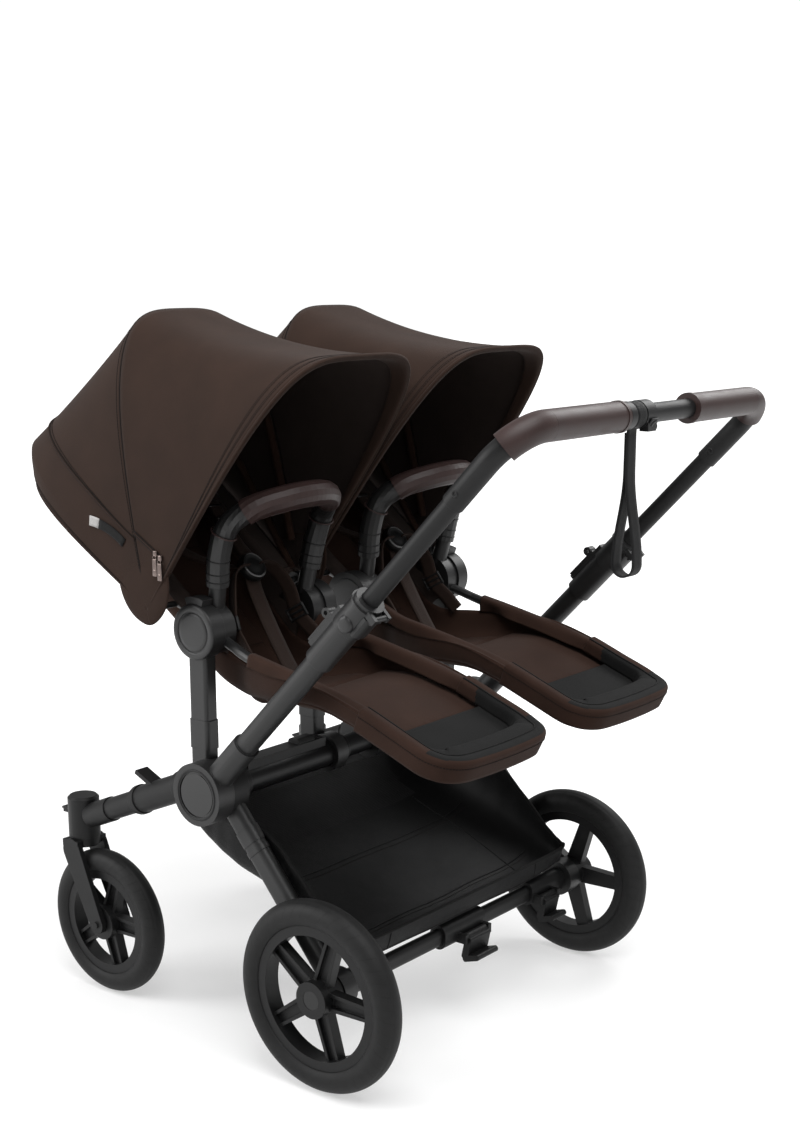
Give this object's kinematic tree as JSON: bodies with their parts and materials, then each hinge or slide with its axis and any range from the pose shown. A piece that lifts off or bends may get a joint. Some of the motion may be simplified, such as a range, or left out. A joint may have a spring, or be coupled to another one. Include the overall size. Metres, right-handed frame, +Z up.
{
  "type": "side by side double stroller",
  "caption": "Side by side double stroller with reclining canopy seats, bumper bars, folding telescopic handle, shopping basket, large rear wheels and swivelling front wheels.",
  "frame": {"origin": "on the floor, in the middle of the stroller's width and length", "axes": "+Z up, -Y the direction of travel, +Y towards the pushing handle, +X the stroller's left side"},
  "size_m": [0.74, 1.0322, 1.1546],
  "materials": {
    "satin_black": "satin moulded",
    "frame_grey": "satin powder coat",
    "cross_black": "satin powder coat",
    "gloss_black": "gloss",
    "rim_black": "matte moulded",
    "tyre": "matte rubber",
    "nylon_black": "woven nylon",
    "brown_fabric": "fine canvas weave",
    "dark_fabric": "fine canvas weave",
    "leatherette": "grained leatherette",
    "strap_leather": "smooth leatherette"
  },
  "bodies": {
    "chassis": {"hub_housings": "satin_black", "front_arms": "satin_black", "rear_legs": "frame_grey", "outer_seat_posts": "frame_grey", "inner_seat_posts": "frame_grey", "cross_tube_sleeve": "cross_black", "cross_tube_slider": "cross_black", "cross_rail": "satin_black", "rear_axle_tube": "satin_black", "axle_housings": "satin_black", "basket": "nylon_black"},
    "handle": {"left_handle_tube": "frame_grey", "right_handle_tube": "frame_grey", "hub_caps": "gloss_black", "handle_collars": "frame_grey"},
    "handlebar": {"handlebar_tube": "satin_black", "left_grip": "leatherette", "right_grip": "leatherette", "strap_holder": "strap_leather"},
    "strap": {"wrist_strap": "nylon_black"},
    "brake_lever": {"brake_pedal": "satin_black"},
    "width_lever": {"width_lock_lever": "satin_black"},
    "left_clamp": {"left_clamp_lever": "frame_grey"},
    "left_trigger": {"left_fold_trigger": "frame_grey"},
    "left_caster": {"left_caster_fork": "satin_black"},
    "left_front_wheel": {"left_front_tyre": "tyre", "left_front_rim": "rim_black"},
    "left_rear_wheel": {"left_rear_tyre": "tyre", "left_rear_rim": "rim_black"},
    "left_button": {"left_release_button": "gloss_black"},
    "left_lock_tab": {"left_swivel_lock": "satin_black"},
    "left_seat": {"left_seat_frame": "frame_grey", "left_seat_shell": "brown_fabric", "left_seat_pad": "dark_fabric", "left_harness": "dark_fabric", "left_bumper_bar": "frame_grey", "left_bumper_grip": "leatherette", "left_canopy_front": "brown_fabric", "left_canopy_back": "brown_fabric"},
    "left_recline_handle": {"left_recline_lever": "frame_grey"},
    "left_canopy": {"left_canopy_bow": "satin_black"},
    "right_clamp": {"right_clamp_lever": "frame_grey"},
    "right_trigger": {"right_fold_trigger": "frame_grey"},
    "right_caster": {"right_caster_fork": "satin_black"},
    "right_front_wheel": {"right_front_tyre": "tyre", "right_front_rim": "rim_black"},
    "right_rear_wheel": {"right_rear_tyre": "tyre", "right_rear_rim": "rim_black"},
    "right_button": {"right_release_button": "gloss_black"},
    "right_lock_tab": {"right_swivel_lock": "satin_black"},
    "right_seat": {"right_seat_frame": "frame_grey", "right_seat_shell": "brown_fabric", "right_seat_pad": "dark_fabric", "right_harness": "dark_fabric", "right_bumper_bar": "frame_grey", "right_bumper_grip": "leatherette", "right_canopy_front": "brown_fabric", "right_canopy_back": "brown_fabric"},
    "right_recline_handle": {"right_recline_lever": "frame_grey"},
    "right_canopy": {"right_canopy_bow": "satin_black"}
  },
  "joints": [
    {"name": "handle_fold", "type": "hinge", "parent": "chassis", "child": "handle", "pos_m": [0, -0.07598, 0.427], "axis": [1, 0, 0], "range_deg": [0, 27]},
    {"name": "handlebar_height", "type": "slide", "parent": "handle", "child": "handlebar", "axis": [0, 0.6947, 0.7193], "range_m": [-0.1, 0.04]},
    {"name": "strap_swing", "type": "hinge", "parent": "handlebar", "child": "strap", "pos_m": [0.063, 0.49364, 1.01686], "axis": [1, 0, 0], "range_deg": [-55, 55]},
    {"name": "brake_press", "type": "hinge", "parent": "chassis", "child": "brake_lever", "pos_m": [-0.229, 0.18102, 0.144], "axis": [-1, 0, 0], "range_deg": [0, 18]},
    {"name": "width_release", "type": "hinge", "parent": "chassis", "child": "width_lever", "pos_m": [-0.014, 0.18102, 0.144], "axis": [-1, 0, 0], "range_deg": [0, 18]},
    {"name": "left_clamp_open", "type": "hinge", "parent": "handle", "child": "left_clamp", "pos_m": [0.343, 0.27068, 0.74423], "axis": [1, 0, 0], "range_deg": [0, 75]},
    {"name": "left_trigger_pull", "type": "slide", "parent": "handle", "child": "left_trigger", "axis": [0, 0.6947, 0.7193], "range_m": [0, 0.012], "stiffness_N_per_m": 900, "springref_m": -0.004},
    {"name": "left_caster_swivel", "type": "hinge", "parent": "chassis", "child": "left_caster", "pos_m": [0.296, -0.42498, 0.3], "axis": [0, 0, 1], "continuous": true},
    {"name": "left_front_wheel_spin", "type": "hinge", "parent": "left_caster", "child": "left_front_wheel", "pos_m": [0.296, -0.36998, 0.1265], "axis": [1, 0, 0], "continuous": true},
    {"name": "left_rear_wheel_spin", "type": "hinge", "parent": "chassis", "child": "left_rear_wheel", "pos_m": [0.348, 0.15702, 0.152], "axis": [1, 0, 0], "continuous": true},
    {"name": "left_button_press", "type": "slide", "parent": "left_rear_wheel", "child": "left_button", "axis": [-1, 0, 0], "range_m": [0, 0.003], "stiffness_N_per_m": 1200, "springref_m": -0.002},
    {"name": "left_swivel_lock_turn", "type": "hinge", "parent": "chassis", "child": "left_lock_tab", "pos_m": [0.296, -0.45898, 0.312], "axis": [1, 0, 0], "range_deg": [0, 20]},
    {"name": "left_seat_recline", "type": "hinge", "parent": "chassis", "child": "left_seat", "pos_m": [0.182, -0.11298, 0.672], "axis": [1, 0, 0], "range_deg": [-25, 10]},
    {"name": "left_recline_pull", "type": "hinge", "parent": "chassis", "child": "left_recline_handle", "pos_m": [0.313, -0.11298, 0.672], "axis": [1, 0, 0], "range_deg": [0, 10], "stiffness_Nm_per_rad": 1.2, "springref_deg": -5.16},
    {"name": "left_canopy_fold", "type": "hinge", "parent": "left_seat", "child": "left_canopy", "pos_m": [0.182, -0.17798, 0.705], "axis": [1, 0, 0], "range_deg": [0, 38], "deforming": ["left_canopy_front"]},
    {"name": "right_clamp_open", "type": "hinge", "parent": "handle", "child": "right_clamp", "pos_m": [-0.343, 0.27068, 0.74423], "axis": [1, 0, 0], "range_deg": [0, 75]},
    {"name": "right_trigger_pull", "type": "slide", "parent": "handle", "child": "right_trigger", "axis": [0, 0.6947, 0.7193], "range_m": [0, 0.012], "stiffness_N_per_m": 900, "springref_m": -0.004},
    {"name": "right_caster_swivel", "type": "hinge", "parent": "chassis", "child": "right_caster", "pos_m": [-0.296, -0.42498, 0.3], "axis": [0, 0, 1], "continuous": true},
    {"name": "right_front_wheel_spin", "type": "hinge", "parent": "right_caster", "child": "right_front_wheel", "pos_m": [-0.296, -0.36998, 0.1265], "axis": [1, 0, 0], "continuous": true},
    {"name": "right_rear_wheel_spin", "type": "hinge", "parent": "chassis", "child": "right_rear_wheel", "pos_m": [-0.348, 0.15702, 0.152], "axis": [1, 0, 0], "continuous": true},
    {"name": "right_button_press", "type": "slide", "parent": "right_rear_wheel", "child": "right_button", "axis": [1, 0, 0], "range_m": [0, 0.003], "stiffness_N_per_m": 1200, "springref_m": -0.002},
    {"name": "right_swivel_lock_turn", "type": "hinge", "parent": "chassis", "child": "right_lock_tab", "pos_m": [-0.296, -0.45898, 0.312], "axis": [1, 0, 0], "range_deg": [0, 20]},
    {"name": "right_seat_recline", "type": "hinge", "parent": "chassis", "child": "right_seat", "pos_m": [-0.182, -0.11298, 0.672], "axis": [1, 0, 0], "range_deg": [-25, 10]},
    {"name": "right_recline_pull", "type": "hinge", "parent": "chassis", "child": "right_recline_handle", "pos_m": [-0.313, -0.11298, 0.672], "axis": [1, 0, 0], "range_deg": [0, 10], "stiffness_Nm_per_rad": 1.2, "springref_deg": -5.16},
    {"name": "right_canopy_fold", "type": "hinge", "parent": "right_seat", "child": "right_canopy", "pos_m": [-0.182, -0.17798, 0.705], "axis": [1, 0, 0], "range_deg": [0, 38], "deforming": ["right_canopy_front"]}
  ]
}
